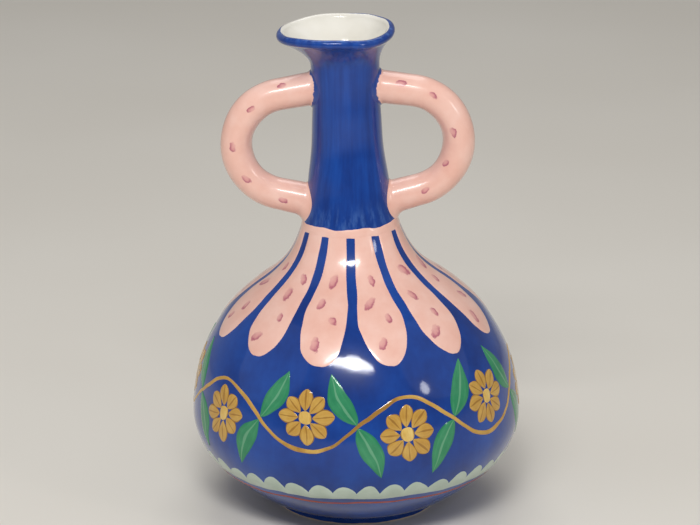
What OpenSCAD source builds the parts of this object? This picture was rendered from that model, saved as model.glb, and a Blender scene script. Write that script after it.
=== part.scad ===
// Round-bellied ceramic vase with a leaning neck, a pulled pouring lip and two loop handles.
// Each clay section is a solid of its own, shaped to lie face to face against the next one.
// Millimetres, +Z up, origin at the centre of the foot on the table, pouring lip towards -X.

/* [Belly] */
// Largest radius of the belly, which is also the radius of the domed shoulder
belly_r = 99; // [94:0.5:106]
// Radius of the turn from the side to the underside
turn_r = 40; // [34:0.5:48]
// Radius of the shallow underside
under_r = 119; // [112:0.5:130]
// Thickness of the thrown walls
wall = 5; // [4:0.25:7]
// Thickness of the bowl's floor
floor_t = 6; // [4:0.5:9]
// Length of the tongue where two thrown sections overlap
lap = 4; // [3:0.25:6]

/* [Foot] */
// Outer radius of the foot ring
foot_r = 49; // [42:0.5:56]
// Height of the foot ring
foot_h = 3; // [2:0.25:6]
// Width of the foot ring
foot_w = 7; // [5:0.5:10]
// Bevel along both lower edges of the foot ring
foot_bevel = 0.6; // [0.2:0.1:1.5]

/* [Neck] */
// Radius of the throat, the narrowest place of the neck
throat_r = 20.2; // [18:0.1:24]
// Height of the throat above the table
throat_z = 258; // [245:1:275]
// Height of the neck section above its throat
above_throat = 16; // [12:0.5:22]
// Radius of the slow curve along the neck
neck_curve_r = 392; // [320:2:480]
// Radius of the hollow curve from the neck to the shoulder
shoulder_hollow_r = 60; // [50:1:72]
// Lean of the neck towards the pouring lip, in degrees
neck_lean = 1.8; // [0:0.1:4]

/* [Mouth] */
// Distance of the rim from the neck's axis on the side away from the spout
rim_back = 27.5; // [25:0.5:33]
// How far the whole rim is pulled over towards the spout
rim_pull = 4; // [2:0.5:10]
// Further reach of the pinched spout
spout_reach = 6; // [0:0.25:9]
// How far the spout dips below the rest of the rim
spout_dip = 2.5; // [0:0.25:6]
// How far the rim sags at its front, beside the spout
front_sag = 3; // [0:0.25:5]
// Height of the rim's centre line above the neck section
rim_rise = 21; // [16:0.5:28]
// Radius of the rolled rim
rim_r = 2.6; // [2.4:0.1:3.6]
// Thickness of the flared wall where it carries the rolled rim
flare_t = 4.4; // [3.4:0.1:4.7]

/* [Handles] */
// Diameter of the rolled handles
handle_d = 19.2; // [15:0.2:23]
// How much wider the legs are than the loop, measured on the radius
leg_swell = 0.3; // [0.2:0.1:1]
// Radius of the handle's loop along its centre line
loop_r = 31.3; // [27:0.1:37]
// Distance of the loop's centre from the neck's axis
loop_x = 35; // [31:0.5:41]
// Slope of the upper legs where they leave the neck, in degrees
upper_slope = 9; // [4:0.5:16]
// Slope of the lower legs where they leave the neck, in degrees
lower_slope = 14; // [6:0.5:18]
// Size of the clay fillet pressed round each handle root
luting = 3; // [2:0.25:4.5]
// Thickness left at the fillet's outer edge
luting_edge = 0.4; // [0.2:0.1:0.8]
// Space between the upper fillets and the neck's upper end
root_gap = 1.5; // [0.5:0.25:5]

/* [Hidden] */

$fn = 96;
// Largest distance between a true arc and the straight bands that stand for it
arc_tol = 0.03;
// Sections round the mouth, and steps along its wall and round its rolled rim
mouth_steps = 64;
flare_steps = 8;
rim_steps = 13;
// Direction of the rolled rim's seat, seen from the rim's centre line, in degrees
rim_seat_a = 228;
// Direction in which the rim sags most, in degrees round the mouth from the side away from the spout
sag_angle = -50;
// How sharply the pinch, the dip and the sag are gathered, and how late the mouth's wall spreads
pinch_power = 3;
dip_power = 3;
sag_power = 4;
flare_power = 1.9;

cobalt = "#1d469b";
pink = "#f2c2b2";
bare_clay = "#e6d3bd";

// Arcs of the bowl: its turn and its underside touch along one circle
under_rise = sqrt(pow(under_r - turn_r, 2) - pow(belly_r - turn_r, 2));
belly_z = foot_h + sqrt(pow(under_r, 2) - pow(foot_r, 2)) - under_rise;
belly_c = [0, belly_z];
turn_c = [belly_r - turn_r, belly_z];
under_c = [0, belly_z + under_rise];
turn_a = -atan2(under_rise, belly_r - turn_r);
foot_a = -acos(foot_r / under_r);
floor_z = foot_h + floor_t;
floor_a = -asin((under_c.y - floor_z) / (under_r - wall));

// Arcs of the neck: the hollow touches the domed shoulder below and the neck's slow curve above
neck_top = throat_z + above_throat;
throat_c = [throat_r + neck_curve_r, throat_z];
to_throat = throat_c - belly_c;
span = norm(to_throat);
to_belly_r = belly_r + shoulder_hollow_r;
to_curve_r = neck_curve_r - shoulder_hollow_r;
along = (pow(to_belly_r, 2) - pow(to_curve_r, 2) + pow(span, 2)) / (2 * span);
aside = sqrt(pow(to_belly_r, 2) - pow(along, 2));
hollow_c = belly_c + (along * to_throat + aside * [-to_throat.y, to_throat.x]) / span;
joint_a = atan2(hollow_c.x, hollow_c.y - belly_z);
lap_a = lap / belly_r * 180 / PI;
// Angle by which the leaning dome runs past the bowl's upper edge before it is cut level
dome_spare_a = neck_lean + 5;
hollow_a0 = 270 - joint_a;
hollow_a1 = 180 + atan2(throat_z - hollow_c.y, throat_c.x - hollow_c.x);

// Handles, in the frame of the upright neck
handle_r = handle_d / 2;
leg_r = handle_r + leg_swell;
// Length by which a leg closes over the end of the loop
leg_cover = 2;
// Where a leg meets the loop, and how far it rises or falls to the neck: side is 1 above and -1 below
function slope_of(side) = side > 0 ? upper_slope : lower_slope;
function leg_x(side) = loop_x + loop_r * sin(slope_of(side));
function leg_z(side) = loop_r * cos(slope_of(side));
function root_rise(side) = (leg_x(side) - throat_r) * tan(slope_of(side));
loop_z = neck_top - root_gap - (luting + leg_r) / cos(upper_slope) - root_rise(1) - leg_z(1);

// Points from one angle to another along an arc
function arc(c, r, a0, a1) =
    let (steps = ceil(abs(a1 - a0) / (2 * acos(1 - arc_tol / r))))
    [for (i = [0 : steps]) let (a = a0 + (a1 - a0) * i / steps) c + r * [cos(a), sin(a)]];

// Outline of the bowl, set in by a distance, from a given angle on the underside to the widest place
function bowl_line(inset, start_a) = concat(
    arc(under_c, under_r - inset, start_a, turn_a),
    arc(turn_c, turn_r - inset, turn_a, 0)
);

// Outline of the neck, set in by a distance, from its joint with the dome to its upper end
function neck_line(inset) = concat(
    arc(hollow_c, shoulder_hollow_r + inset, hollow_a0, hollow_a1),
    arc(throat_c, neck_curve_r + inset, hollow_a1, 180 - asin(above_throat / (neck_curve_r + inset)))
);

// Outer radius of the neck at a height
function neck_r_at(z) =
    z > hollow_c.y - shoulder_hollow_r * sin(hollow_a1 - 180)
    ? throat_c.x - sqrt(pow(neck_curve_r, 2) - pow(z - throat_z, 2))
    : hollow_c.x - sqrt(pow(shoulder_hollow_r, 2) - pow(z - hollow_c.y, 2));

// Upward tilt of the neck's outer face at a height, in degrees
function neck_tilt_at(z) = asin((throat_z - z) / neck_curve_r);

function reversed(list) = [for (i = [len(list) - 1 : -1 : 0]) list[i]];

// The neck and all that it carries lean about the centre of the belly
module leaned() {
    translate([0, 0, belly_z])
    rotate([0, -neck_lean, 0])
    translate([0, 0, -belly_z])
    children();
}

module foot_ring() {
    color(bare_clay)
    rotate_extrude()
    polygon([
        [foot_r - foot_w, foot_h], [foot_r - foot_w, foot_bevel], [foot_r - foot_w + foot_bevel, 0],
        [foot_r - foot_bevel, 0], [foot_r, foot_bevel], [foot_r, foot_h]
    ]);
}

// Thrown bowl with its floor, and a tongue that stands up inside the dome
module lower_bowl() {
    tongue_r = belly_r - wall / 2;
    tongue_a = asin(lap / (belly_r - wall));
    color(cobalt)
    rotate_extrude()
    polygon(concat(
        [[0, foot_h]],
        bowl_line(0, foot_a),
        [[tongue_r, belly_z], [tongue_r, belly_z + lap]],
        arc(belly_c, belly_r - wall, tongue_a, 0),
        reversed(bowl_line(wall, floor_a)),
        [[0, floor_z]]
    ));
}

// Flat wedge from the belly's centre, between two angles from the upright
module wedge(from_a, to_a) {
    polygon(concat([[0, 0]], [for (a = [from_a, (from_a + to_a) / 2, to_a]) 2 * belly_r * [sin(a), cos(a)]]));
}

// Domed shoulder, turned about the leaning axis and rebated over the tongues of the bowl and the neck
module upper_dome() {
    color(cobalt)
    difference() {
        leaned()
        rotate_extrude()
        translate(belly_c)
        difference() {
            intersection() {
                circle(belly_r);
                wedge(joint_a, 90 + dome_spare_a);
            }
            circle(belly_r - wall);
            intersection() {
                circle(belly_r - wall / 2);
                wedge(0, joint_a + lap_a);
            }
        }
        cylinder(h = belly_z, r = 2 * belly_r);
        cylinder(h = belly_z + lap, r = belly_r - wall / 2);
    }
}

// Thrown neck with its spreading skirt, and a tongue that reaches down inside the dome
module neck() {
    color(cobalt)
    leaned()
    rotate_extrude()
    polygon(concat(
        arc(belly_c, belly_r - wall / 2, 90 - joint_a - lap_a, 90 - joint_a),
        neck_line(0),
        reversed(neck_line(wall)),
        arc(belly_c, belly_r - wall, 90 - joint_a, 90 - joint_a - lap_a)
    ));
}

// Shape of the neck with its hollow filled, to which the handles are cut
module neck_filled() {
    line = neck_line(0);
    rotate([0, 0, 90])
    rotate_extrude()
    polygon(concat([[0, line[0].y]], line, [[0, neck_top]]));
}

// Centre line of the rim: distance from the axis and height, by the angle round the mouth
function towards_spout(a) = (1 - cos(a)) / 2;
function towards_sag(a) = (1 + cos(a - sag_angle)) / 2;
function rim_point(a) = [
    rim_back + rim_pull * towards_spout(a) + spout_reach * pow(towards_spout(a), pinch_power),
    neck_top + rim_rise - spout_dip * pow(towards_spout(a), dip_power)
        - front_sag * pow(towards_sag(a), sag_power)
];
seat_half_a = asin(flare_t / (2 * rim_r));
function rim_edge(a, turn) = rim_point(a) + rim_r * [cos(turn), sin(turn)];

// One side of the flared wall, which leaves the neck upright and spreads to an edge of the rim's seat
function flare_line(r, edge) = [
    for (i = [0 : flare_steps])
    let (part = i / flare_steps)
    [r + (edge.x - r) * pow(part, flare_power), neck_top + (edge.y - neck_top) * part]
];

// Closed ring through one section at each angle round the mouth
module ring_of(sections) {
    count = len(sections);
    size = len(sections[0]);
    function at(j, i) = (j % count) * size + i % size;
    polyhedron(
        points = [
            for (j = [0 : count - 1])
            let (a = 360 * j / count)
            for (p = sections[j])
            [p.x * cos(a), p.x * sin(a), p.y]
        ],
        faces = [
            for (j = [0 : count - 1], i = [0 : size - 1], half = [0, 1])
            half == 0
            ? [at(j, i), at(j, i + 1), at(j + 1, i + 1)]
            : [at(j, i), at(j + 1, i + 1), at(j + 1, i)]
        ],
        convexity = 6
    );
}

mouth_angles = [for (j = [0 : mouth_steps - 1]) 360 * j / mouth_steps];

module mouth_flare() {
    neck_end_r = neck_r_at(neck_top);
    color(cobalt)
    leaned()
    ring_of([
        for (a = mouth_angles)
        concat(
            flare_line(neck_end_r, rim_edge(a, rim_seat_a + seat_half_a)),
            reversed(flare_line(neck_end_r - wall, rim_edge(a, rim_seat_a - seat_half_a)))
        )
    ]);
}

module rim_coil() {
    first = rim_seat_a + seat_half_a - 360;
    last = rim_seat_a - seat_half_a;
    color(cobalt)
    leaned()
    ring_of([
        for (a = mouth_angles)
        [for (i = [0 : rim_steps]) rim_edge(a, first + (last - first) * i / rim_steps)]
    ]);
}

// Straight leg on the +X side, from over the loop's end to the neck's axis
module leg(side) {
    translate([leg_x(side), 0, loop_z + side * leg_z(side)])
    rotate([0, side * slope_of(side) - 90, 0])
    translate([0, 0, -leg_cover])
    cylinder(h = leg_cover + leg_x(side) / cos(slope_of(side)), r = leg_r);
}

// Rolled handle on the +X side of the upright neck, with both ends cut to the neck
module handle() {
    difference() {
        union() {
            translate([loop_x, 0, loop_z])
            rotate([90, 0, 0])
            rotate([0, 0, lower_slope - 90])
            rotate_extrude(angle = 180 - lower_slope - upper_slope)
            translate([loop_r, 0])
            circle(handle_r);
            leg(1);
            leg(-1);
        }
        neck_filled();
    }
}

// Clay fillet round one root of the +X handle
module root_luting(side) {
    root_z = loop_z + side * (leg_z(side) + root_rise(side));
    root_r = neck_r_at(root_z);
    difference() {
        translate([root_r, 0, root_z])
        rotate([0, -90 - neck_tilt_at(root_z), 0])
        rotate_extrude()
        polygon(concat(
            [[0, -luting], [0, root_r], [leg_r + luting, root_r]],
            arc([leg_r + luting, -luting], luting - luting_edge, 90, 180)
        ));
        leg(side);
        neck_filled();
    }
}

module left() {
    leaned() mirror([1, 0, 0]) children();
}

module left_handle() {
    color(pink) left() handle();
}

module right_handle() {
    color(pink) leaned() handle();
}

module left_upper_luting() {
    color(pink) left() root_luting(1);
}

module left_lower_luting() {
    color(pink) left() root_luting(-1);
}

module right_upper_luting() {
    color(pink) leaned() root_luting(1);
}

module right_lower_luting() {
    color(pink) leaned() root_luting(-1);
}

foot_ring();
lower_bowl();
upper_dome();
neck();
mouth_flare();
rim_coil();
left_handle();
right_handle();
left_upper_luting();
left_lower_luting();
right_upper_luting();
right_lower_luting();
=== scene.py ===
import bpy
import math
import numpy as np
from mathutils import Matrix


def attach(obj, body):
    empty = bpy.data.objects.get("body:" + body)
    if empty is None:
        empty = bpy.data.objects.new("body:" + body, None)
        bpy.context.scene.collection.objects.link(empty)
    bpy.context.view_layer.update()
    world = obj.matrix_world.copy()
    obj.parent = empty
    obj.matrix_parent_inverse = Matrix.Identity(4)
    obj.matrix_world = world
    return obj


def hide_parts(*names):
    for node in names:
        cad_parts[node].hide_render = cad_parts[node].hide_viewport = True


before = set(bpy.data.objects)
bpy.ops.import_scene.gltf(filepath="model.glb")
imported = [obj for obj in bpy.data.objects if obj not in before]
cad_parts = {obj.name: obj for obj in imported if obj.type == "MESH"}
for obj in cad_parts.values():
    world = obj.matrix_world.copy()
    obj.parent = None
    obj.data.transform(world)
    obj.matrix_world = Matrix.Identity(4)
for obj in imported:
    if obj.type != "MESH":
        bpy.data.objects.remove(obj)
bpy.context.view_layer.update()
print("frame loaded:", len(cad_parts), "nodes")

mm = 0.001  # sizes below are in millimetres, meshes in metres
sameSpot = 0.01  # points this close are one


# small tools shared by all pieces

def deselectAll():
    if bpy.context.mode != "OBJECT":
        bpy.ops.object.mode_set(mode="OBJECT")
    bpy.ops.object.select_all(action="DESELECT")


def keepNew(name):  # names the piece just added and puts its place into its mesh
    piece = bpy.context.active_object
    piece.name = piece.data.name = name
    bpy.ops.object.transform_apply(location=True, rotation=True, scale=True)
    return piece


def pickOnly(*pieces):
    deselectAll()
    for piece in pieces:
        piece.select_set(True)
    bpy.context.view_layer.objects.active = pieces[0]


def readPoints(piece):
    flat = np.empty(len(piece.data.vertices) * 3)
    piece.data.vertices.foreach_get("co", flat)
    return flat.reshape(-1, 3) / mm


def writePoints(piece, points):
    piece.data.vertices.foreach_set("co", (points * mm).ravel())
    piece.data.update()


def storeValues(piece, name, values):
    layer = piece.data.attributes.new(name, "FLOAT", "POINT")
    layer.data.foreach_set("value", np.asarray(values, dtype=np.float32))


def applyModifier(piece, kind, **settings):
    pickOnly(piece)
    modifier = piece.modifiers.new(kind.lower(), kind)
    for key, value in settings.items():
        setattr(modifier, key, value)
    bpy.ops.object.modifier_apply(modifier=modifier.name)


def editAll(piece, tool, **settings):  # runs an edit mode tool on the whole mesh
    pickOnly(piece)
    bpy.ops.object.mode_set(mode="EDIT")
    bpy.ops.mesh.select_all(action="SELECT")
    tool(**settings)
    bpy.ops.object.mode_set(mode="OBJECT")


def joinPieces(pieces, name):
    pickOnly(*pieces)
    if len(pieces) > 1:
        bpy.ops.object.join()
    pieces[0].name = pieces[0].data.name = name
    return pieces[0]


def smoothShade(piece, degrees):
    pickOnly(piece)
    bpy.ops.object.shade_smooth_by_angle(angle=math.radians(degrees))


def ease(part):
    part = np.clip(part, 0, 1)
    return part * part * (3 - 2 * part)


def waver(turn, waves, s=0.0):
    # an uneven line; each wave has a size, a count round, a start and, if it drifts, its millimetres along
    total = 0.0
    for size, count, start, *step in waves:
        total = total + size * np.sin(count * turn + start + (s / step[0] if step else 0.0))
    return total


# colours and nodes

def hexColour(code):
    parts = [int(code[i:i + 2], 16) / 255 for i in (1, 3, 5)]
    return tuple(p / 12.92 if p <= 0.04045 else ((p + 0.055) / 1.055) ** 2.4 for p in parts) + (1.0,)


def addNode(tree, kind, settings=None, links=None):
    node = tree.nodes.new(kind)
    settings = dict(settings or {})
    # a range holds its ends before and after
    settings.update(zip(("From Min", "From Max", "To Min", "To Max"), settings.pop("range", ())))
    for key, value in settings.items():
        if key == "stops":  # a ramp's places and colours
            elements = node.color_ramp.elements
            for i, (place, code) in enumerate(value):
                stop = elements[i] if i < 2 else elements.new(place)
                stop.position = place
                stop.color = hexColour(code)
        elif isinstance(key, int) or key in node.inputs:
            node.inputs[key].default_value = value
        else:
            setattr(node, key, value)
    for key, source in (links or {}).items():
        if isinstance(source, bpy.types.Node):  # a node stands for its first live output
            source = next(output for output in source.outputs if output.enabled)
        tree.links.new(source, node.inputs[key])
    return node


def newMaterial(name):
    material = bpy.data.materials.new(name)
    material.use_nodes = True
    material.node_tree.nodes.clear()
    return material, material.node_tree


def perMetre(size):  # texture scale for a pattern of that many millimetres
    return 1 / (size * mm)


# outline of the vase, as in the construction

vase = {
    "bellyR": 99.0, "turnR": 40.0, "underR": 119.0, "wall": 5.0, "floorT": 6.0,
    "footR": 49.0, "footH": 3.0,
    "throatR": 20.2, "throatZ": 258.0, "aboveThroat": 16.0, "neckCurveR": 392.0, "hollowR": 60.0,
    "lean": 1.8,
    "rimBack": 27.5, "rimPull": 4.0, "spoutReach": 6.0, "spoutDip": 2.5, "spoutPower": 3, "rimRise": 21.0,
    "frontSag": 3.0, "sagTurn": -50.0, "sagPower": 4,
    "rimR": 2.6, "flareT": 4.4, "seatTurn": 228.0, "flarePower": 1.9,
    # unevenness left by the hands: throwing rings, swells and finger marks on the rim
    "ringWave": 0.16, "ringStep": 5.5, "ringSway": 0.6,
    "swells": [(0.14, 3, 0.0, 23.0), (0.10, 5, 1.3, -17.0)], "fingers": [(0.3, 3, 1.0), (0.15, 7, 0.0)],
    "calmFoot": 6.0, "footFade": 20.0, "mouthFade": 14.0,
    "tableStep": 0.4,
}

# centres of the outline's arcs end in C, their angles in A
underRise = math.sqrt((vase["underR"] - vase["turnR"]) ** 2 - (vase["bellyR"] - vase["turnR"]) ** 2)
bellyZ = vase["footH"] + math.sqrt(vase["underR"] ** 2 - vase["footR"] ** 2) - underRise
underC = (0.0, bellyZ + underRise)
turnC = (vase["bellyR"] - vase["turnR"], bellyZ)
turnA = -math.degrees(math.atan2(underRise, turnC[0]))
footA = -math.degrees(math.acos(vase["footR"] / vase["underR"]))
floorZ = vase["footH"] + vase["floorT"]
floorA = -math.degrees(math.asin((underC[1] - floorZ) / (vase["underR"] - vase["wall"])))
neckTop = vase["throatZ"] + vase["aboveThroat"]
throatC = (vase["throatR"] + vase["neckCurveR"], vase["throatZ"])


def findHollow():
    acrossX, acrossZ = throatC[0], throatC[1] - bellyZ
    span = math.hypot(acrossX, acrossZ)
    toBelly = vase["bellyR"] + vase["hollowR"]
    toCurve = vase["neckCurveR"] - vase["hollowR"]
    along = (toBelly ** 2 - toCurve ** 2 + span ** 2) / (2 * span)
    aside = math.sqrt(toBelly ** 2 - along ** 2)
    return ((along * acrossX - aside * acrossZ) / span, bellyZ + (along * acrossZ + aside * acrossX) / span)


hollowC = findHollow()
jointA = math.degrees(math.atan2(hollowC[0], hollowC[1] - bellyZ))
hollowA = 180 + math.degrees(math.atan2(vase["throatZ"] - hollowC[1], throatC[0] - hollowC[0]))


def arcLine(centre, radius, start, end, step):
    count = max(2, math.ceil(abs(math.radians(end - start)) * radius / step))
    turn = np.radians(np.linspace(start, end, count + 1))
    return np.stack([centre[0] + radius * np.cos(turn), centre[1] + radius * np.sin(turn)], axis=1)


def wallLine(inset, start, step):
    neckEnd = 180 - math.degrees(math.asin(vase["aboveThroat"] / (vase["neckCurveR"] + inset)))
    arcs = [
        arcLine(underC, vase["underR"] - inset, start, turnA, step),
        arcLine(turnC, vase["turnR"] - inset, turnA, 0, step),
        arcLine((0.0, bellyZ), vase["bellyR"] - inset, 0, 90 - jointA, step),
        arcLine(hollowC, vase["hollowR"] + inset, 270 - jointA, hollowA, step),
        arcLine(throatC, vase["neckCurveR"] + inset, hollowA, neckEnd, step),
    ]
    return np.concatenate([arcs[0]] + [arc[1:] for arc in arcs[1:]])


def lengthsAlong(line):
    return np.concatenate([[0], np.cumsum(np.hypot(*np.diff(line, axis=0).T))])


# fine table of the outer wall: radius and height, arc length from the foot, slope
tableLine = wallLine(0, footA, vase["tableStep"])
tableS = lengthsAlong(tableLine)
tableSlope = np.gradient(tableLine, tableS, axis=0)
tableSlope /= np.linalg.norm(tableSlope, axis=1)[:, None]


def lengthAt(z):  # arc length of the outer wall at a height
    return float(np.interp(z, tableLine[:, 1], tableS))


equatorS = lengthAt(bellyZ)


def radiusAt(s):
    return np.interp(s, tableS, tableLine[:, 0])


def handMade(s, turn):  # slight throwing rings and slow swells, none at the foot and under the mouth
    fade = ease((s - vase["calmFoot"]) / vase["footFade"]) * ease((tableS[-1] - s) / vase["mouthFade"])
    rings = vase["ringWave"] * np.sin(s / vase["ringStep"] + vase["ringSway"] * np.sin(turn))
    return fade * (rings + waver(turn, vase["swells"], s))


def leaned(points):  # the neck leans about the belly's centre, the dome follows by degrees
    x, y, rise = points[:, 0], points[:, 1], points[:, 2] - bellyZ
    polar = np.degrees(np.arctan2(np.hypot(x, y), rise))
    turn = math.radians(vase["lean"]) * ease((90 - polar) / (90 - jointA))
    return np.stack([
        x * np.cos(turn) - rise * np.sin(turn), y, x * np.sin(turn) + rise * np.cos(turn) + bellyZ
    ], axis=1)


def leanedAt(r, turn, z):  # a point given round the upright axis, leaned
    return leaned(np.stack([r * np.cos(turn), r * np.sin(turn), z], axis=1))


def onWall(s, turn, lift=0.0):  # a point of the outer glaze, raised by lift
    out = lift + handMade(s, turn)
    slopeR = np.interp(s, tableS, tableSlope[:, 0])
    slopeZ = np.interp(s, tableS, tableSlope[:, 1])
    r = radiusAt(s) + out * slopeZ
    return leanedAt(r, turn, np.interp(s, tableS, tableLine[:, 1]) - out * slopeR)


# mouth: rolled rim drawn out to the pouring lip

seatHalf = math.degrees(math.asin(vase["flareT"] / (2 * vase["rimR"])))
rollStart = vase["seatTurn"] + seatHalf - 360
rollEnd = vase["seatTurn"] - seatHalf
neckEndR = float(tableLine[-1, 0])


def rimEdge(turn, roll):
    pull = (1 - np.cos(turn)) / 2
    spout = pull ** vase["spoutPower"]
    sag = ((1 + np.cos(turn - math.radians(vase["sagTurn"]))) / 2) ** vase["sagPower"]
    r = vase["rimBack"] + vase["rimPull"] * pull + vase["spoutReach"] * spout
    z = neckTop + vase["rimRise"] - vase["spoutDip"] * spout - vase["frontSag"] * sag
    z = z + waver(turn, vase["fingers"])
    return r + vase["rimR"] * np.cos(np.radians(roll)), z + vase["rimR"] * np.sin(np.radians(roll))


def flarePoint(turn, startR, roll, part):
    edgeR, edgeZ = rimEdge(turn, roll)
    return startR + (edgeR - startR) * part ** vase["flarePower"], neckTop + (edgeZ - neckTop) * part


# glazes and enamels

def cobaltGlaze():
    # cobalt slip under a clear glaze: deep even blue with faint brush lines down the neck, a wet gloss on
    # top and, from the slip below, a soft glow round each highlight
    material, tree = newMaterial("cobaltGlazedStoneware")
    place = addNode(tree, "ShaderNodeTexCoord").outputs["Object"]
    patches = addNode(tree, "ShaderNodeTexNoise",
                      {"Scale": perMetre(45), "Detail": 4.0, "Roughness": 0.6}, {"Vector": place})
    drawn = addNode(tree, "ShaderNodeMapping", {"Scale": (perMetre(4), perMetre(4), perMetre(90))},
                    {"Vector": place})
    strokes = addNode(tree, "ShaderNodeTexNoise", {"Scale": 1.0, "Detail": 3.0, "Roughness": 0.6},
                      {"Vector": drawn})
    parts = addNode(tree, "ShaderNodeSeparateXYZ", links={"Vector": place})
    neckFrom, neckTo = 160, 205  # heights between which the brush lines come in
    onNeck = addNode(tree, "ShaderNodeMapRange", {"range": (neckFrom * mm, neckTo * mm, 0.12, 0.55)},
                     {"Value": parts.outputs["Z"]})
    tone = addNode(tree, "ShaderNodeMix", {"data_type": "FLOAT"}, {0: onNeck, 2: patches, 3: strokes})
    blue = addNode(tree, "ShaderNodeValToRGB",
                   {"stops": [(0.34, "#042c76"), (0.66, "#0e469e"), (0.50, "#07398b")]}, {"Fac": tone})
    thin = addNode(tree, "ShaderNodeAttribute", {"attribute_name": "glazeThin"})
    short = addNode(tree, "ShaderNodeMapping", {"Scale": (perMetre(3), perMetre(3), perMetre(14))},
                    {"Vector": place})
    ends = addNode(tree, "ShaderNodeTexNoise", {"Scale": 1.0, "Detail": 4.0, "Roughness": 0.6},
                   {"Vector": short})
    gaps = addNode(tree, "ShaderNodeMapRange", {"range": (0.45, 0.7)}, {"Value": ends})
    broken = addNode(tree, "ShaderNodeMath", {"operation": "MULTIPLY"}, {0: thin.outputs["Fac"], 1: gaps})
    colour = addNode(tree, "ShaderNodeMix", {"data_type": "RGBA", 7: hexColour("#4a72b4")},
                     {0: broken, 6: blue})
    glow = addNode(tree, "ShaderNodeMapRange", {"range": (0.3, 0.7, 0.28, 0.4)}, {"Value": patches})
    pool = addNode(tree, "ShaderNodeTexNoise", {"Scale": perMetre(16), "Detail": 2.0}, {"Vector": place})
    bump = addNode(tree, "ShaderNodeBump", {"Strength": 0.22, "Distance": 0.5 * mm}, {"Height": pool})
    glaze = addNode(tree, "ShaderNodeBsdfPrincipled",
                    {"IOR": 1.46, "Specular IOR Level": 0.1,
                     "Coat Weight": 1.0, "Coat Roughness": 0.08, "Coat IOR": 1.45},
                    {"Base Color": colour, "Roughness": glow, "Normal": bump, "Coat Normal": bump})
    addNode(tree, "ShaderNodeOutputMaterial", links={"Surface": glaze})
    return material


def linerGlaze():
    # opaque white glaze poured inside: milky, slightly warm, wet gloss
    material, tree = newMaterial("whiteLinerGlaze")
    place = addNode(tree, "ShaderNodeTexCoord").outputs["Object"]
    cloud = addNode(tree, "ShaderNodeTexNoise", {"Scale": perMetre(22), "Detail": 3.0}, {"Vector": place})
    white = addNode(tree, "ShaderNodeValToRGB", {"stops": [(0.3, "#dedacf"), (0.7, "#e8e5dd")]},
                    {"Fac": cloud})
    bump = addNode(tree, "ShaderNodeBump", {"Strength": 0.25, "Distance": 0.4 * mm}, {"Height": cloud})
    glaze = addNode(tree, "ShaderNodeBsdfPrincipled", {"IOR": 1.5, "Roughness": 0.12},
                    {"Base Color": white, "Normal": bump})
    addNode(tree, "ShaderNodeOutputMaterial", links={"Surface": glaze})
    return material


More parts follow.
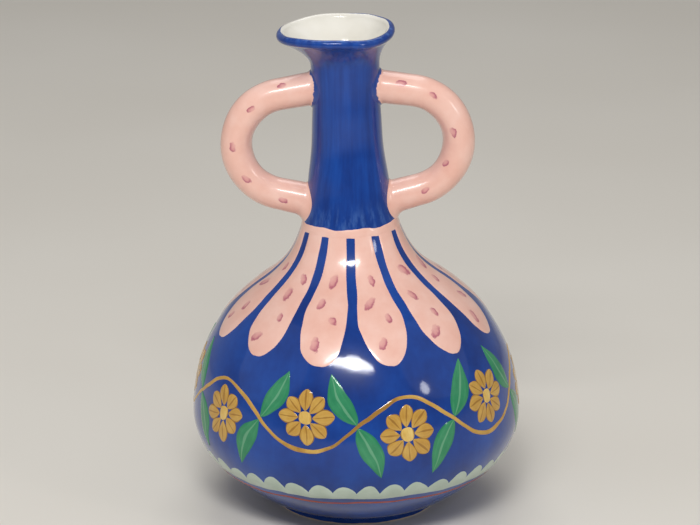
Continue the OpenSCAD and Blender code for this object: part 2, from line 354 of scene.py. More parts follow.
def pinkGlaze():
    # pale pink slip: faint mottling, mauve brush dabs darker where they pooled, blue lapped on the roots,
    # and the same wet gloss on top
    material, tree = newMaterial("pinkBrushedGlaze")
    place = addNode(tree, "ShaderNodeTexCoord").outputs["Object"]
    cloud = addNode(tree, "ShaderNodeTexNoise", {"Scale": perMetre(18), "Detail": 4.0, "Roughness": 0.6},
                    {"Vector": place})
    fine = addNode(tree, "ShaderNodeTexNoise", {"Scale": perMetre(2.2), "Detail": 3.0}, {"Vector": place})
    pink = addNode(tree, "ShaderNodeValToRGB",
                   {"stops": [(0.3, "#edb7a6"), (0.7, "#f5cabc"), (0.5, "#f1c0b0")]}, {"Fac": cloud})
    dab = addNode(tree, "ShaderNodeAttribute", {"attribute_name": "dab"})
    ragged = addNode(tree, "ShaderNodeMath", {"operation": "MULTIPLY_ADD", 1: 0.9},
                     {0: fine, 2: dab.outputs["Fac"]})
    wash = addNode(tree, "ShaderNodeMapRange", {"range": (1.3, 1.55, 0.8, 0.0)}, {"Value": ragged})
    rim = addNode(tree, "ShaderNodeMapRange", {"range": (0.75, 1.25, 0.25, 1.2)}, {"Value": ragged})
    toPool = addNode(tree, "ShaderNodeAttribute", {"attribute_name": "dabPool"})
    fading = addNode(tree, "ShaderNodeMapRange", {"range": (-1.0, 0.2, 0.35, 1.0)},
                     {"Value": toPool.outputs["Fac"]})
    veil = addNode(tree, "ShaderNodeMath", {"operation": "MULTIPLY"}, {0: wash, 1: fading})
    pooled = addNode(tree, "ShaderNodeMapRange", {"range": (-0.6, 0.5, 0.12, 1.0)},
                     {"Value": toPool.outputs["Fac"]})
    ringed = addNode(tree, "ShaderNodeMath", {"operation": "MULTIPLY"}, {0: pooled, 1: rim})
    stroke = addNode(tree, "ShaderNodeMath", {"operation": "MULTIPLY", "use_clamp": True},
                     {0: wash, 1: ringed})
    washed = addNode(tree, "ShaderNodeMix", {"data_type": "RGBA", 7: hexColour("#de9896")},
                     {0: veil, 6: pink})
    dabbed = addNode(tree, "ShaderNodeMix", {"data_type": "RGBA", 7: hexColour("#b05a70")},
                     {0: stroke, 6: washed})
    lap = addNode(tree, "ShaderNodeAttribute", {"attribute_name": "rootLap"})
    uneven = addNode(tree, "ShaderNodeMath", {"operation": "MULTIPLY_ADD", 1: 3.0},
                     {0: cloud, 2: lap.outputs["Fac"]})
    torn = addNode(tree, "ShaderNodeMath", {"operation": "MULTIPLY_ADD", 1: 1.6}, {0: fine, 2: uneven})
    lapped = addNode(tree, "ShaderNodeMapRange", {"range": (3.3, 3.55, 1.0, 0.0)}, {"Value": torn})
    colour = addNode(tree, "ShaderNodeMix", {"data_type": "RGBA", 7: hexColour("#07398b")},
                     {0: lapped, 6: dabbed})
    bump = addNode(tree, "ShaderNodeBump", {"Strength": 0.2, "Distance": 0.4 * mm}, {"Height": cloud})
    glow = addNode(tree, "ShaderNodeMapRange", {"range": (0.3, 0.7, 0.28, 0.4)}, {"Value": cloud})
    glaze = addNode(tree, "ShaderNodeBsdfPrincipled",
                    {"IOR": 1.46, "Coat Weight": 1.0, "Coat Roughness": 0.15, "Coat IOR": 1.45},
                    {"Base Color": colour, "Roughness": glow, "Normal": bump, "Coat Normal": bump})
    addNode(tree, "ShaderNodeOutputMaterial", links={"Surface": glaze})
    return material


def brushedEnamel(name, deep, middle, light, outline, outlineShare, vein, veinShare):
    # coloured slip laid on with a loaded brush: faint strokes along its length, a pooled edge and a vein
    material, tree = newMaterial(name)
    place = addNode(tree, "ShaderNodeTexCoord")
    # the UV map runs once across and once along a motif, which gets about seven strokes across
    drawn = addNode(tree, "ShaderNodeMapping", {"Scale": (7.0, 1.2, 1.0)},
                    {"Vector": place.outputs["UV"]})
    strokes = addNode(tree, "ShaderNodeTexNoise", {"Scale": 1.0, "Detail": 4.0, "Roughness": 0.6},
                      {"Vector": drawn})
    cloud = addNode(tree, "ShaderNodeTexNoise", {"Scale": perMetre(9), "Detail": 3.0},
                    {"Vector": place.outputs["Object"]})
    tone = addNode(tree, "ShaderNodeMix", {"data_type": "FLOAT", 0: 0.5}, {2: strokes, 3: cloud})
    body = addNode(tree, "ShaderNodeValToRGB", {"stops": [(0.36, deep), (0.64, light), (0.5, middle)]},
                   {"Fac": tone})
    parts = addNode(tree, "ShaderNodeSeparateXYZ", links={"Vector": place.outputs["UV"]})
    centred = addNode(tree, "ShaderNodeMath", {"operation": "SUBTRACT", 1: 0.5}, {0: parts.outputs["X"]})
    aside = addNode(tree, "ShaderNodeMath", {"operation": "ABSOLUTE"}, {0: centred})
    wobble = addNode(tree, "ShaderNodeMath", {"operation": "MULTIPLY_ADD", 1: 0.12}, {0: cloud, 2: aside})
    edge = addNode(tree, "ShaderNodeMapRange", {"range": (0.43, 0.47, 0.0, outlineShare)},
                   {"Value": wobble})
    middleLine = addNode(tree, "ShaderNodeMapRange", {"range": (0.09, 0.12, veinShare, 0.0)},
                         {"Value": wobble})
    edged = addNode(tree, "ShaderNodeMix", {"data_type": "RGBA", 7: hexColour(outline)},
                    {0: edge, 6: body})
    colour = addNode(tree, "ShaderNodeMix", {"data_type": "RGBA", 7: hexColour(vein)},
                     {0: middleLine, 6: edged})
    bump = addNode(tree, "ShaderNodeBump", {"Strength": 0.25, "Distance": 0.3 * mm}, {"Height": tone})
    glaze = addNode(tree, "ShaderNodeBsdfPrincipled", {"IOR": 1.46, "Roughness": 0.12},
                    {"Base Color": colour, "Normal": bump})
    addNode(tree, "ShaderNodeOutputMaterial", links={"Surface": glaze})
    return material


def footClay():
    # fired stoneware wiped clean where it stands: dry, buff and speckled, with blue run down its outside
    material, tree = newMaterial("bareStoneware")
    place = addNode(tree, "ShaderNodeTexCoord").outputs["Object"]
    cloud = addNode(tree, "ShaderNodeTexNoise", {"Scale": perMetre(9), "Detail": 4.0}, {"Vector": place})
    # grit of about 0.3 mm, drawn at 0.9 so that it shows
    grit = addNode(tree, "ShaderNodeTexNoise", {"Scale": perMetre(0.9), "Detail": 2.0}, {"Vector": place})
    buff = addNode(tree, "ShaderNodeValToRGB", {"stops": [(0.3, "#d9c3a8"), (0.7, "#efe0cb")]},
                   {"Fac": cloud})
    specks = addNode(tree, "ShaderNodeMapRange", {"range": (0.62, 0.68, 0.0, 0.6)}, {"Value": grit})
    speckled = addNode(tree, "ShaderNodeMix", {"data_type": "RGBA", 7: hexColour("#a88a68")},
                       {0: specks, 6: buff})
    parts = addNode(tree, "ShaderNodeSeparateXYZ", links={"Vector": place})
    level = addNode(tree, "ShaderNodeCombineXYZ",
                    links={"X": parts.outputs["X"], "Y": parts.outputs["Y"]})
    fromAxis = addNode(tree, "ShaderNodeVectorMath", {"operation": "LENGTH"}, {0: level})
    outsideR = vase["footR"] - 2.5  # beyond it lies the ring's outside
    runZ, runEdge, runWave = 1.2, 0.2, 1.2  # height where the blue stops, its soft edge and unevenness
    outside = addNode(tree, "ShaderNodeMath", {"operation": "GREATER_THAN", 1: outsideR * mm},
                      {0: fromAxis})
    run = addNode(tree, "ShaderNodeMath", {"operation": "MULTIPLY_ADD", 1: runWave * mm},
                  {0: cloud, 2: parts.outputs["Z"]})
    above = addNode(tree, "ShaderNodeMapRange", {"range": (runZ * mm, (runZ + runEdge) * mm)},
                    {"Value": run})
    glazed = addNode(tree, "ShaderNodeMath", {"operation": "MULTIPLY"}, {0: outside, 1: above})
    colour = addNode(tree, "ShaderNodeMix", {"data_type": "RGBA", 7: hexColour("#07398b")},
                     {0: glazed, 6: speckled})
    gloss = addNode(tree, "ShaderNodeMapRange", {"range": (0.0, 1.0, 0.8, 0.12)}, {"Value": glazed})
    bump = addNode(tree, "ShaderNodeBump", {"Strength": 0.4, "Distance": 0.2 * mm}, {"Height": grit})
    clay = addNode(tree, "ShaderNodeBsdfPrincipled", {"IOR": 1.46},
                   {"Base Color": colour, "Roughness": gloss, "Normal": bump})
    addNode(tree, "ShaderNodeOutputMaterial", links={"Surface": clay})
    return material


cobalt = cobaltGlaze()
liner = linerGlaze()
pink = pinkGlaze()
clay = footClay()
print("glazes mixed")


# vase body: one profile spun round the axis, then leaned and its mouth pulled

body = {"steps": 192, "wallStep": 2.2, "insideStep": 3.6, "flatRows": 4, "flareRows": 12, "rollRows": 30,
        "smooth": 40,
        # the line between blue and white round the rim, in degrees of its roll, with a rise and a drop
        "linerRoll": 104.0, "linerRows": 12, "linerWaves": [(3.0, 4, 0.5), (2.0, 11, 0.0), (1.5, 23, 0.0)],
        "linerDrop": 32.0, "dropTurn": 140.0, "dropHalf": 70.0, "dropFade": 40.0,
        "linerRise": 20.0, "riseTurn": -155.0, "riseHalf": 60.0,
        # thin glaze: the rim's crest, the edge above the foot and the brush ends over the collar
        "thinRoll": 70.0, "thinHalf": 60.0, "thinFoot": 5.0, "footShare": 0.7,
        "shortZ": 183.0, "shortHalf": 14.0, "shortShare": 0.6}


def turnedFrom(turn, degrees):  # how far round the axis from a direction, in degrees
    return np.abs((np.degrees(turn) - degrees + 180) % 360 - 180)


def spunProfile(name, line, steps):
    deselectAll()
    bpy.ops.mesh.primitive_plane_add(size=2 * mm, location=(line[0][0] * mm, 0, line[0][1] * mm))
    piece = keepNew(name)
    bpy.ops.object.mode_set(mode="EDIT")
    bpy.ops.mesh.select_mode(type="VERT")
    bpy.ops.mesh.select_all(action="SELECT")
    bpy.ops.mesh.merge(type="CENTER")  # the line starts from one point
    for here, there in zip(line, line[1:]):
        step = ((there[0] - here[0]) * mm, 0, (there[1] - here[1]) * mm)
        bpy.ops.mesh.extrude_vertices_move(TRANSFORM_OT_translate={"value": step})
    bpy.ops.mesh.select_all(action="SELECT")
    bpy.ops.mesh.spin(steps=steps, angle=2 * math.pi, center=(0, 0, 0), axis=(0, 0, 1))
    editAll(piece, bpy.ops.mesh.remove_doubles, threshold=sameSpot * mm)
    editAll(piece, bpy.ops.mesh.normals_make_consistent, inside=False)
    return piece


def profileRows():  # from the middle of the underside, over the rim, to the middle of the floor
    outer = wallLine(0, footA, body["wallStep"])
    inner = wallLine(vase["wall"], floorA, body["insideStep"])[::-1]
    rows = []  # radius, height, part of the wall, value along that part
    for r in np.linspace(0, vase["footR"], body["flatRows"] + 1)[:-1]:
        rows.append((r, vase["footH"], "under", 0.0))
    outerS = lengthsAlong(outer)
    outerS *= tableS[-1] / outerS[-1]
    rows += [(r, z, "wall", s) for (r, z), s in zip(outer, outerS)]
    for part in np.linspace(0, 1, body["flareRows"] + 1)[1:]:
        rows.append((*flarePoint(0.0, neckEndR, rollStart, part), "flare", part))
    for roll in np.linspace(rollStart, rollEnd, body["rollRows"] + 1)[1:]:
        rows.append((*rimEdge(0.0, roll), "roll", roll))
    for part in np.linspace(1, 0, body["flareRows"] + 1)[1:-1]:
        rows.append((*flarePoint(0.0, neckEndR - vase["wall"], rollEnd, part), "inFlare", part))
    rows += [(r, z, "inside", 0.0) for r, z in inner]
    for r in np.linspace(inner[-1][0], 0, body["flatRows"])[1:]:
        rows.append((r, floorZ, "inside", 0.0))
    line = np.array([(r, z) for r, z, _, _ in rows])
    return line, np.array([kind for _, _, kind, _ in rows]), np.array([value for _, _, _, value in rows])


def linerShift(turn):  # the blue stops in an uneven line at the rim's crest, lower outside at the back left
    rise = ease((body["riseHalf"] - turnedFrom(turn, body["riseTurn"])) / body["riseHalf"])
    drop = ease((body["dropHalf"] - turnedFrom(turn, body["dropTurn"])) / body["dropFade"])
    return waver(turn, body["linerWaves"]) + body["linerRise"] * rise - body["linerDrop"] * drop


def makeBody():
    line, kinds, values = profileRows()
    piece = spunProfile("glazedBody", line, body["steps"])
    points = readPoints(piece)
    turn = np.arctan2(points[:, 1], points[:, 0])
    flat = np.stack([np.hypot(points[:, 0], points[:, 1]), points[:, 2]], axis=1)
    row = np.array([np.argmin(((line - p) ** 2).sum(axis=1)) for p in flat])
    kind, value = kinds[row], values[row]

    shaped = leaned(points)
    wall, roll = kind == "wall", kind == "roll"
    shaped[wall] = onWall(value[wall], turn[wall])
    sides = (("flare", neckEndR, rollStart), ("inFlare", neckEndR - vase["wall"], rollEnd))
    for name, startR, edge in sides:
        part = kind == name
        r, z = flarePoint(turn[part], startR, edge, value[part])
        shaped[part] = leanedAt(r, turn[part], z)
    linerRow = int(np.argmin(np.abs(np.where(kinds == "roll", values, math.inf) - body["linerRoll"])))
    nearLiner = np.clip(1 - np.abs(row - linerRow) / body["linerRows"], 0, 1)
    r, z = rimEdge(turn[roll], (value + linerShift(turn) * nearLiner)[roll])
    shaped[roll] = leanedAt(r, turn[roll], z)
    writePoints(piece, shaped)

    crest = ease(1 - np.abs(value - body["thinRoll"]) / body["thinHalf"])
    overFoot = body["footShare"] * ease(1 - value / body["thinFoot"])
    brushEnds = body["shortShare"] * ease(1 - np.abs(value - lengthAt(body["shortZ"])) / body["shortHalf"])
    thin = np.where(wall, np.maximum(overFoot, brushEnds), np.where(roll, crest, 0.0))
    storeValues(piece, "glazeThin", thin)
    piece.data.materials.append(cobalt)
    piece.data.materials.append(liner)
    for face in piece.data.polygons:
        if min(row[v] for v in face.vertices) >= linerRow:
            face.material_index = 1
    smoothShade(piece, body["smooth"])
    return piece


vaseBody = makeBody()
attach(vaseBody, "root")
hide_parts("lower_bowl", "upper_dome", "neck", "mouth_flare", "rim_coil")
print("body spun:", len(vaseBody.data.polygons), "faces")


# handles: a ring spun through the loop, its legs drawn out and spread onto the neck

handle = {
    "tubeR": 9.6, "legR": 9.9, "loopR": 31.3, "loopX": 35.0, "upperSlope": 9.0, "lowerSlope": 14.0,
    "rootGap": 1.5, "luting": 3.0,
    "sides": 84, "loopSteps": 110, "straightSteps": 12, "spreadSteps": 9, "halvings": 40, "smooth": 50,
    # spread of the roots: towards the loop's middle, away from it
    "upperSpread": (3.0, 3.0), "lowerSpread": (2.2, 6.0),
    "bury": 1.2, "sink": 0.25,  # how far the end and the root's edge go into the neck's wall
    "endShare": 0.3,  # the end draws in to this share, so its flat face stays inside the wall
    # slight marks of the rolling hand, round the roll and along it, fading out before the legs
    "pressRound": [(0.12, 2, 0.0, 6.0)], "pressAlong": [(0.096, 1, 0.0, 11.0)],
    "pressEnd": 1.2, "pressFade": 0.3,
    "dabLength": 3.2, "dabWidth": 1.8, "dabVary": 0.14,
    # dabs: angle along the loop, place round the roll (0 front, 90 outside), tilt
    "leftDabs": [(87, 44, 4), (49, 9, -14), (3, 12, 6), (-35, 2, 18), (-82, 5, -12),
                 (70, 165, 10), (25, 190, -8), (-15, 172, 15), (-58, 200, -10)],
    "rightDabs": [(96, 34, -5), (61, 17, 12), (14, -16, -10), (-28, -33, 8), (-70, -6, -16),
                  (80, 170, 12), (38, 195, -9), (-5, 168, 14), (-47, 188, -6)],
}


def legStart(up):  # slope of a leg, and where it leaves the loop: up is 1 above and -1 below
    slope = math.radians(handle["upperSlope"] if up > 0 else handle["lowerSlope"])
    return slope, handle["loopX"] + handle["loopR"] * math.sin(slope), handle["loopR"] * math.cos(slope)


def findLoopZ():  # the upper roots sit just below the neck's end
    slope, legX, legZ = legStart(1)
    rise = (legX - vase["throatR"]) * math.tan(slope)
    return neckTop - handle["rootGap"] - (handle["luting"] + handle["legR"]) / math.cos(slope) - rise - legZ


loopZ = findLoopZ()
legSteps = handle["straightSteps"] + handle["spreadSteps"] + 2  # the last two close the end in the wall
noLap, noDab = 100.0, 9.0  # distances to the blue lap and to a dab where there is none
poolWay = (-0.6, 0.8)  # along and across a dab towards its pooled end


def tilted(ahead, aside, tilt):
    c, s = math.cos(math.radians(tilt)), math.sin(math.radians(tilt))
    return ahead * c + aside * s, aside * c - ahead * s


def dabPlaces(ahead, aside, tilt, brush, size):  # along and across a dab, 1 at its edge
    along, across = tilted(ahead, aside, tilt)
    return along / (size * brush["dabLength"]), across / (size * brush["dabWidth"])


def storeDabs(piece, dabs):  # how far out from the nearest dab's middle, and how far to its pooled end
    places = np.array(dabs)
    out = np.hypot(places[:, 0], places[:, 1])
    nearest = out.argmin(axis=0), np.arange(out.shape[1])
    storeValues(piece, "dab", out[nearest])
    storeValues(piece, "dabPool", (poolWay[0] * places[:, 0] + poolWay[1] * places[:, 1])[nearest])


def reachNeck(start, way):  # distance along each line to the upright neck's face
    near, far = np.zeros(len(start)), np.full(len(start), handle["loopX"] + handle["tubeR"])
    for _ in range(handle["halvings"]):
        middle = (near + far) / 2
        at = start + middle[:, None] * way
        outside = np.hypot(at[:, 0], at[:, 1]) > np.interp(at[:, 2], tableLine[:, 1], tableLine[:, 0])
        near, far = np.where(outside, middle, near), np.where(outside, far, middle)
    return near


def rolledTube(name):  # a ring spun up and down through the loop, then each leg drawn out by 1 mm a step
    centre = (handle["loopX"] * mm, 0, loopZ * mm)
    deselectAll()
    bpy.ops.mesh.primitive_circle_add(
        vertices=handle["sides"], radius=handle["tubeR"] * mm,
        location=((handle["loopX"] + handle["loopR"]) * mm, 0, loopZ * mm))
    piece = keepNew(name)
    for up in (1, -1):
        slope = legStart(up)[0]
        bpy.ops.object.mode_set(mode="EDIT")
        bpy.ops.mesh.select_mode(type="VERT")
        bpy.ops.mesh.select_all(action="DESELECT")
        bpy.ops.object.mode_set(mode="OBJECT")
        for vertex in piece.data.vertices:  # the ring at the loop's outermost place
            vertex.select = abs(vertex.co.z - centre[2]) < sameSpot * mm and vertex.co.x > centre[0]
        bpy.ops.object.mode_set(mode="EDIT")
        bpy.ops.mesh.spin(steps=handle["loopSteps"] // 2, angle=up * (math.pi / 2 - slope), center=centre,
                          axis=(0, 1, 0))
        step = (-math.cos(slope) * mm, 0, up * math.sin(slope) * mm)
        for _ in range(legSteps):
            bpy.ops.mesh.extrude_region_move(TRANSFORM_OT_translate={"value": step})
        bpy.ops.mesh.edge_face_add()  # closes the end, which lies inside the neck's wall
        bpy.ops.object.mode_set(mode="OBJECT")
    return piece


def dabHandle(piece, along, roundA, dabs):
    places = []
    for turn, place, tilt in dabs:
        ahead = along - math.radians(turn) * handle["loopR"]
        around = ((roundA - math.radians(place) + math.pi) % (2 * math.pi) - math.pi) * handle["tubeR"]
        places.append(dabPlaces(ahead, around, tilt, handle, 1 + handle["dabVary"] * math.sin(turn)))
    storeDabs(piece, places)


def makeHandle(name, side, dabs):
    piece = rolledTube(name)
    points = readPoints(piece)
    shaped = points.copy()
    toNeck = np.full(len(points), noLap)
    along = handle["loopR"] * np.arctan2(points[:, 2] - loopZ, points[:, 0] - handle["loopX"])
    fromLoop = np.hypot(points[:, 0] - handle["loopX"], points[:, 2] - loopZ) - handle["loopR"]
    roundA = np.arctan2(fromLoop, -points[:, 1])
    for up, (inner, outer) in ((1, handle["upperSpread"]), (-1, handle["lowerSpread"])):
        slope, legX, legZ = legStart(up)
        foot = np.array([legX, 0, loopZ + up * legZ])
        way = np.array([-math.cos(slope), 0, up * math.sin(slope)])
        outward = np.array([math.sin(slope), 0, up * math.cos(slope)])  # away from the loop's middle
        ahead = (points - foot) @ way
        leg = (ahead > 0.5) & ((points[:, 2] - loopZ) * up > 0)  # from the first step on
        count = np.rint(ahead[leg]).astype(int)  # steps from the loop
        across = np.stack([points[leg, 1], (points[leg] - foot) @ outward], axis=1)
        across /= np.linalg.norm(across, axis=1)[:, None]
        direction = across[:, :1] * np.array([0, 1, 0]) + across[:, 1:] * outward
        spread = inner + (outer - inner) * ease((across[:, 1] + 1) / 2)
        straight = np.clip(count / handle["straightSteps"], 0, 1)
        bend = np.radians(90 * np.clip((count - handle["straightSteps"]) / handle["spreadSteps"], 0, 1))
        thick = handle["tubeR"] + (handle["legR"] - handle["tubeR"]) * ease(straight)
        thick = thick + spread * (1 - np.cos(bend))
        thick = np.where(count == legSteps, handle["endShare"] * thick, thick)
        hit = reachNeck(foot + direction * thick[:, None], way)
        left = np.where(straight < 1, (1 - straight) * (hit - spread) + spread, spread * (1 - np.sin(bend)))
        left = np.where(count >= legSteps - 1, -handle["bury"], left - handle["sink"] * np.sin(bend))
        shaped[leg] = foot + direction * thick[:, None] + (hit - left)[:, None] * way
        along[leg] = up * (handle["loopR"] * (math.pi / 2 - slope) + hit - left)
        roundA[leg] = np.arctan2(across[:, 1], -across[:, 0])
        if up == 1:
            toNeck[leg] = np.maximum(left, 0)
    swell = waver(roundA, handle["pressRound"], along) + waver(side, handle["pressAlong"], along)
    out = np.stack([np.sin(roundA) * np.cos(along / handle["loopR"]), -np.cos(roundA),
                    np.sin(roundA) * np.sin(along / handle["loopR"])], axis=1)
    free = ease((handle["pressEnd"] - np.abs(along / handle["loopR"])) / handle["pressFade"])
    shaped += out * (swell * free)[:, None]

    dabHandle(piece, along, roundA, dabs)
    storeValues(piece, "rootLap", toNeck)
    shaped[:, 0] *= side
    writePoints(piece, leaned(shaped))
    editAll(piece, bpy.ops.mesh.normals_make_consistent, inside=False)
    piece.data.materials.append(pink)
    smoothShade(piece, handle["smooth"])
    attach(piece, "root")
    return piece


leftHandle = makeHandle("leftHandle", -1, handle["leftDabs"])
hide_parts("left_handle", "left_upper_luting", "left_lower_luting")
rightHandle = makeHandle("rightHandle", 1, handle["rightDabs"])
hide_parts("right_handle", "right_upper_luting", "right_lower_luting")
print("handles rolled")


# painted bands: sheets of slip laid on the wall, each a little proud of the glaze

paint = {"proud": 0.22, "sunk": 0.12, "beadPower": 6, "thick": 0.45, "merge": 0.02, "smooth": 60,
         # how the hand strays from the line, in millimetres at the belly
         "strayUp": [(0.6, 14, 0.0, 9.0), (0.18, 37, 0.0, 3.0)],
         "strayAside": [(0.6, 8, 0.0, -6.0), (0.18, 29, 0.0, -2.5)]}
frontTurn = -math.pi / 2


def flatSheet(name, grid):
    deselectAll()
    bpy.ops.mesh.primitive_grid_add(x_subdivisions=grid[0], y_subdivisions=grid[1], size=1,
                                    location=(0, 0, 0))
    return keepNew(name)


def sheetPlaces(piece):  # u from -1 to 1 across, v from 0 to 1 along
    points = readPoints(piece) * mm
    return points[:, 0] * 2, points[:, 1] + 0.5


def beadLift(edge):  # height over the glaze: level on top, rounded down at the edge
    level = 1 - np.clip(edge, 0, 1) ** paint["beadPower"]
    return (paint["proud"] + paint["sunk"]) * level - paint["sunk"]


def brushAt(s, turn, lift):  # a point of a painted sheet, where the hand strays a little from the line
    up = waver(turn, paint["strayUp"], s) * radiusAt(s) / vase["bellyR"]  # less on the narrow neck
    aside = waver(turn, paint["strayAside"], s) / vase["bellyR"]
    return onWall(s + up, turn + aside, lift)


def roundSheet(name, grid):  # a sheet for a band, with its places round from the front and up the band
    piece = flatSheet(name, grid)
    u, v = sheetPlaces(piece)
    return piece, u * math.pi, v


def layBand(piece, s, turn, v):
    writePoints(piece, brushAt(s, frontTurn + turn, beadLift(np.abs(2 * v - 1))))


def flatMotif(name, grid, shape):  # a motif lying flat, in millimetres, with its bead as height
    piece = flatSheet(name, grid)
    x, y, edge = shape(*sheetPlaces(piece))
    writePoints(piece, np.stack([x, y, beadLift(edge)], axis=1))
    return piece


def copies(piece, count):  # the piece and its copies, each with its own mesh
    made = [piece]
    for _ in range(count - 1):
        pickOnly(piece)
        bpy.ops.object.duplicate(linked=False)
        made.append(bpy.context.active_object)
    return made


def layOnWall(piece, atTurn, atS, tilt=0.0, stretch=1.0):
    x, y, lift = readPoints(piece).T
    along, across = tilted(y * stretch, x, tilt)
    length = atS + along
    writePoints(piece, brushAt(length, atTurn + across / radiusAt(length), lift))


def finishPaint(pieces, name, material):
    piece = joinPieces(pieces, name)
    editAll(piece, bpy.ops.mesh.remove_doubles, threshold=paint["merge"] * mm)
    applyModifier(piece, "SOLIDIFY", thickness=paint["thick"] * mm, offset=-1.0)
    piece.data.materials.append(material)
    smoothShade(piece, paint["smooth"])
    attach(piece, "root")


# collar of pink lappets hanging from a ring round the neck's foot

collar = {"count": 12, "topZ": 174.0, "ringHeight": 6.0, "ringWaves": [(0.5, 7, 0.0)], "ringGrid": (240, 5),
          "tipOver": 56.0, "halfTop": 11.0, "halfWide": 13.0, "widenShare": 0.6, "underRing": 1.0,
          "tipShare": 0.42, "tipRows": 1.7, "tipBead": 12, "grid": (30, 70),
          "dabLength": 4.2, "dabWidth": 2.3,
          # how the dabs stray, with a phase for each lappet and for each dab
          "dabUp": (2.0, 1.7, 2.0), "dabAside": (1.5, 2.3, 1.0), "dabTilt": (28.0, 2.1, 1.0),
          "dabSize": (0.2, 1.3, 4.0),
          # dabs: aside, above the tip, tilt
          "dabs": [(-4.5, 14.0, 25), (4.0, 28.0, -20), (-3.0, 43.0, 15), (2.0, 58.0, -10)]}
collarTip, collarTop = equatorS + collar["tipOver"], lengthAt(collar["topZ"])


def lappetShape(u, v):
    v = v ** collar["tipRows"]  # rows lie closer at the rounded tip
    tip = np.clip(1 - v / collar["tipShare"], 0, 1)
    wider = (collar["halfWide"] - collar["halfTop"]) * ease((1 - v) / collar["widenShare"])
    half = np.radians(collar["halfTop"] + wider) * np.sqrt(1 - tip ** 2)
    y = (collarTop + collar["underRing"] - collarTip) * v
    return u * half * radiusAt(collarTip + y), y, np.maximum(np.abs(u), tip ** collar["tipBead"])


def dabStray(stray, k, i, start=0.0):
    size, perLappet, perDab = stray
    return size * math.sin(perLappet * k + perDab * i + start)


def dabLappet(piece, k):  # dabs shift and tilt a little from lappet to lappet
    x, y, _ = readPoints(piece).T
    places = []
    for i, (dabX, dabY, tilt) in enumerate(collar["dabs"]):
        ahead = y - dabY - dabStray(collar["dabUp"], k, i)
        aside = x - dabX - dabStray(collar["dabAside"], k, i, math.pi / 2)
        tilt = tilt + dabStray(collar["dabTilt"], k, i)
        places.append(dabPlaces(ahead, aside, tilt, collar, 1 + dabStray(collar["dabSize"], k, i)))
    storeDabs(piece, places)
    storeValues(piece, "rootLap", np.full(len(x), noLap))


def makeCollar():
    lappets = copies(flatMotif("lappet", collar["grid"], lappetShape), collar["count"])
    for k, piece in enumerate(lappets):
        dabLappet(piece, k)
        layOnWall(piece, frontTurn + (k + 0.5) * 2 * math.pi / collar["count"], collarTip)
    ring, turn, v = roundSheet("collarRing", collar["ringGrid"])
    layBand(ring, collarTop + (collar["ringHeight"] + waver(turn, collar["ringWaves"])) * v, turn, v)
    storeValues(ring, "dab", np.full(len(v), noDab))
    storeValues(ring, "rootLap", np.full(len(v), noLap))
    finishPaint(lappets + [ring], "collarLappets", pink)


makeCollar()
print("collar painted")


# frieze: a waving stem with rosettes in its bays and leaves at its crossings

frieze = {"waves": 5, "middle": 21.0, "swing": 16.0, "stemHalf": 1.4, "stemWaves": [(0.15, 3, 0.0)],
          "leafStart": 0.8, "leafLength": 34.0, "leafWidth": 14.5, "leafBow": 2.4, "leafTilt": 24.0,
          "leafFull": 0.85, "leafRound": 0.9,
          "petals": 8, "petalStart": 4.0, "petalLength": 13.0, "petalWidth": 10.5, "petalFull": 1.25,
          "petalRound": 0.75, "petalBead": 3, "petalVary": 0.04,
          "heart": 4.6, "rosetteOff": 5.0, "rosetteTurn": 9.0,
          "stemGrid": (480, 4), "leafGrid": (9, 18), "petalGrid": (7, 10), "heartGrid": (10, 10)}
friezeS = equatorS + frieze["middle"]
bayTurn = math.pi / frieze["waves"]


def makeStem(material):
    piece, turn, v = roundSheet("friezeStem", frieze["stemGrid"])
    phase = frieze["waves"] * turn
    s = friezeS + frieze["swing"] * np.sin(phase)
    r = radiusAt(s)
    rise = frieze["swing"] * frieze["waves"] * np.cos(phase) / r
    half = frieze["stemHalf"] * (1 + waver(phase, frieze["stemWaves"]))
    wide = (2 * v - 1) * half / np.sqrt(1 + rise ** 2)
    layBand(piece, s + wide, turn - rise * wide / r, v)
    finishPaint([piece], "friezeStem", material)


def leafShape(u, v, lean):
    half = frieze["leafWidth"] / 2 * np.sin(np.pi * v ** frieze["leafFull"]) ** frieze["leafRound"]
    x = u * half + lean * frieze["leafBow"] * np.sin(np.pi * v)
    return x, frieze["leafStart"] + v * frieze["leafLength"], np.abs(u)


def makeLeaves(material):
    pieces = []
    for first, lean in ((0, -1), (1, 1)):  # the stem climbs at even crossings and falls at odd ones
        crossings = range(first, 2 * frieze["waves"], 2)
        leaf = flatMotif("leaf", frieze["leafGrid"], lambda u, v: leafShape(u, v, lean))
        leaves = copies(leaf, 2 * len(crossings))
        for i, piece in enumerate(leaves):  # one up and one down from each crossing
            tilt = 180 * (i % 2) - lean * frieze["leafTilt"]
            layOnWall(piece, frontTurn + crossings[i // 2] * bayTurn, friezeS, tilt)
        pieces += leaves
    finishPaint(pieces, "friezeLeaves", material)


def rosettePlace(k):  # middle of a bay, off the stem's bend
    side = -1 if k % 2 == 0 else 1
    return frontTurn + (k + 0.5) * bayTurn, friezeS + side * frieze["rosetteOff"]


def petalShape(u, v):
    half = np.sin(np.pi * np.clip(v, 0, 1) ** frieze["petalFull"]) ** frieze["petalRound"]
    half = frieze["petalWidth"] / 2 * half
    edge = np.maximum(np.abs(u), np.abs(2 * v - 1) ** frieze["petalBead"])
    return u * half, frieze["petalStart"] + v * frieze["petalLength"], edge


def makePetals(material):
    petal = flatMotif("petal", frieze["petalGrid"], petalShape)
    petals = copies(petal, 2 * frieze["waves"] * frieze["petals"])
    for i, piece in enumerate(petals):
        k, p = divmod(i, frieze["petals"])
        tilt = 360 * p / frieze["petals"] + frieze["rosetteTurn"] * math.sin(k)
        layOnWall(piece, *rosettePlace(k), tilt, 1 + frieze["petalVary"] * math.sin(3 * p + k))
    finishPaint(petals, "rosettePetals", material)


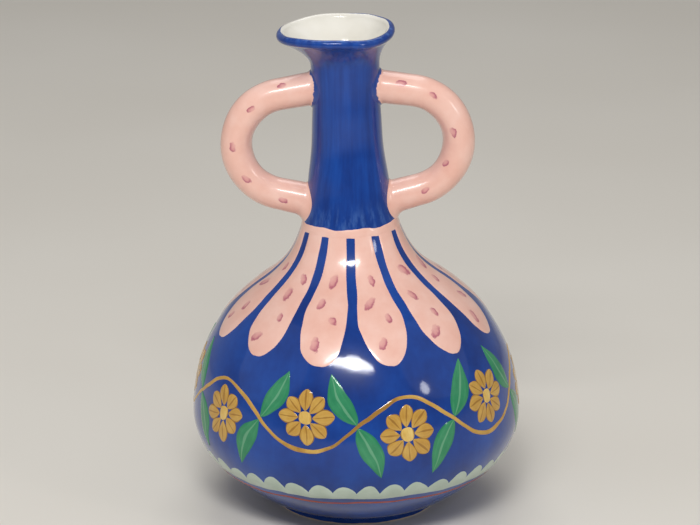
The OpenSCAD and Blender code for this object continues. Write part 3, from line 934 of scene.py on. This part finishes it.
def heartShape(u, v):  # a square sheet drawn into a disc
    w = 2 * v - 1
    x, y = u * np.sqrt(1 - w ** 2 / 2), w * np.sqrt(1 - u ** 2 / 2)
    return frieze["heart"] * x, frieze["heart"] * y, np.hypot(x, y)


def makeHearts(material):
    hearts = copies(flatMotif("heart", frieze["heartGrid"], heartShape), 2 * frieze["waves"])
    for k, piece in enumerate(hearts):
        layOnWall(piece, *rosettePlace(k))
    finishPaint(hearts, "rosetteHearts", material)


ochre = brushedEnamel("ochreEnamel", "#b98b3c", "#c4994a", "#cfa858", "#7d5422", 0.8, "#8d6128", 0.7)
green = brushedEnamel("greenEnamel", "#2b8058", "#33895f", "#429468", "#236f4e", 0.4, "#7fb593", 0.5)
yellow = brushedEnamel("yellowEnamel", "#cfa552", "#dcb765", "#e6c87c", "#7d5422", 0.8, "#d2ab55", 0.3)
makeStem(ochre)
makeLeaves(green)
makePetals(ochre)
makeHearts(yellow)
print("frieze painted")


# border under the frieze: sage scallops over a brick red line

border = {"scallops": 40, "from": -30.0, "band": 7.0, "rise": 7.0, "roundness": 0.8, "grid": (640, 6),
          "riseWaves": [(0.1, 9, 0.0), (0.08, 22, 0.0)],
          "lineFrom": -34.5, "lineWidth": 2.4, "lineGrid": (320, 4),
          "lineWaves": [(0.35, 9, 0.0), (0.2, 22, 0.0)], "widthWaves": [(0.2, 13, 0.0)]}


def makeBorder(material):
    piece, turn, v = roundSheet("scallopBorder", border["grid"])
    rise = border["rise"] * (1 + waver(turn, border["riseWaves"]))
    top = border["band"] + rise * np.abs(np.sin(border["scallops"] / 2 * turn)) ** border["roundness"]
    layBand(piece, equatorS + border["from"] + v * top, turn, v)
    finishPaint([piece], "scallopBorder", material)


def makeRedLine(material):
    piece, turn, v = roundSheet("redLine", border["lineGrid"])
    width = border["lineWidth"] * (1 + waver(turn, border["widthWaves"]))
    s = equatorS + border["lineFrom"] + waver(turn, border["lineWaves"]) + (v - 0.5) * width
    layBand(piece, s, turn, v)
    finishPaint([piece], "redLine", material)


sage = brushedEnamel("sageEnamel", "#b3c3b4", "#bccbbd", "#c7d5c8", "#9db1a0", 0.4, "#bccbbd", 0.0)
brick = brushedEnamel("brickRedEnamel", "#983f35", "#a5483a", "#b15446", "#8a372c", 0.4, "#a5483a", 0.0)
makeBorder(sage)
makeRedLine(brick)
print("border painted")


# foot ring keeps its turned shape and gets its clay

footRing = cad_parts["foot_ring"]
footRing.data.materials.clear()
footRing.data.materials.append(clay)
print("foot ring dressed")


# floor, light and camera

studio = {"floor": "#ddd8cf", "floorLight": "#e3dfd7", "floorSize": 8.0, "aim": 0.15,
          "world": 0.26, "worldTint": (1.0, 0.985, 0.96, 1.0)}
# lamps: degrees round and up, distance, shape, watts, width and height
lamps = {
    "keyLamp": (-3, 44, 1.6, "ELLIPSE", 3.5, 0.3, 0.24),
    "stripLamp": (-6.5, 43, 1.6, "ELLIPSE", 12.0, 0.96, 0.16),
    "topLamp": (180, 65, 1.8, "SQUARE", 9.0, 1.2, 1.2),
    "leftLamp": (-75, 30, 1.8, "DISK", 2.4, 1.9, 1.9),
    "rightLamp": (75, 35, 1.8, "DISK", 2.4, 1.9, 1.9),
    "windowLamp": (53, 22, 1.7, "ELLIPSE", 1.6, 0.18, 0.32),
}
view = {"distance": 2.2, "elevation": 18.0, "aside": -0.0038, "lens": 187.9, "sensor": 36.0}


def makeFloor():
    # matt painted board: pale and even with a faint cloud
    material, tree = newMaterial("paleBoard")
    place = addNode(tree, "ShaderNodeTexCoord").outputs["Object"]
    cloud = addNode(tree, "ShaderNodeTexNoise", {"Scale": perMetre(400), "Detail": 2.0},
                    {"Vector": place})
    pale = addNode(tree, "ShaderNodeValToRGB",
                   {"stops": [(0.3, studio["floor"]), (0.7, studio["floorLight"])]}, {"Fac": cloud})
    board = addNode(tree, "ShaderNodeBsdfPrincipled", {"Roughness": 0.7}, {"Base Color": pale})
    addNode(tree, "ShaderNodeOutputMaterial", links={"Surface": board})
    deselectAll()
    bpy.ops.mesh.primitive_plane_add(size=studio["floorSize"], location=(0, 0, 0))
    floor = keepNew("floor")
    floor.data.materials.append(material)


def facing(roundAbout, up, distance):  # place and turn of what looks at the vase
    turn, rise = math.radians(roundAbout), math.radians(up)
    level = distance * math.cos(rise)
    place = (level * math.sin(turn), -level * math.cos(turn), studio["aim"] + distance * math.sin(rise))
    return place, (math.pi / 2 - rise, 0, turn)


def addLamp(name, roundAbout, up, distance, shape, watts, width, height):
    place, turn = facing(roundAbout, up, distance)
    deselectAll()
    bpy.ops.object.light_add(type="AREA", location=place, rotation=turn)
    lamp = bpy.context.active_object
    lamp.name = name
    lamp.data.energy = watts
    lamp.data.shape = shape
    lamp.data.size = width
    lamp.data.size_y = height


makeFloor()
for name, settings in lamps.items():
    addLamp(name, *settings)
world = bpy.data.worlds.new("studio")
bpy.context.scene.world = world
world.use_nodes = True
backdrop = world.node_tree.nodes["Background"].inputs
backdrop["Color"].default_value = studio["worldTint"]
backdrop["Strength"].default_value = studio["world"]

place, turn = facing(0, view["elevation"], view["distance"])
deselectAll()
bpy.ops.object.camera_add(location=(view["aside"], place[1], place[2]), rotation=turn)
camera = bpy.context.active_object
camera.name = "camera"
camera.data.lens = view["lens"]
camera.data.sensor_width = view["sensor"]
bpy.context.scene.camera = camera
bpy.context.scene.view_settings.view_transform = "Standard"
print("studio set")
